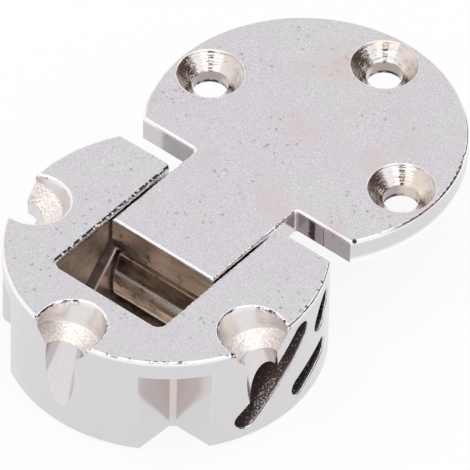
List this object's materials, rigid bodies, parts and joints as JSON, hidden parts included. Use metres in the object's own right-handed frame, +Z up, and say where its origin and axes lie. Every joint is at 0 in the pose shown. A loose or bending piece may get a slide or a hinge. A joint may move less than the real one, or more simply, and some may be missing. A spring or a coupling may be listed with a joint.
{
  "type": "flap hinge",
  "caption": "Flap hinge for inset flaps: a drilled-in round cup with a slotted pocket and a round flange plate whose tongue swings up out of it on cross pins.",
  "frame": {"origin": "centre of the cup's round floor, on its underside", "axes": "+X from the cup to the flange plate, +Y along the hinge pin, +Z up from the cup's floor to its open top"},
  "size_m": [0.0581, 0.035, 0.0134],
  "materials": {
    "plated_casting": "satin nickel plating on a zinc die-casting",
    "pin_steel": "smooth drawn steel"
  },
  "bodies": {
    "cup": {"cup": "plated_casting"},
    "flap": {"flange_plate": "plated_casting", "hinge_pin": "pin_steel", "guide_pin": "pin_steel"}
  },
  "joints": [
    {"name": "flap_hinge", "type": "hinge", "parent": "cup", "child": "flap", "pos_m": [0.0014, 0, 0.003], "axis": [0, -1, 0], "range_deg": [0, 90]}
  ]
}
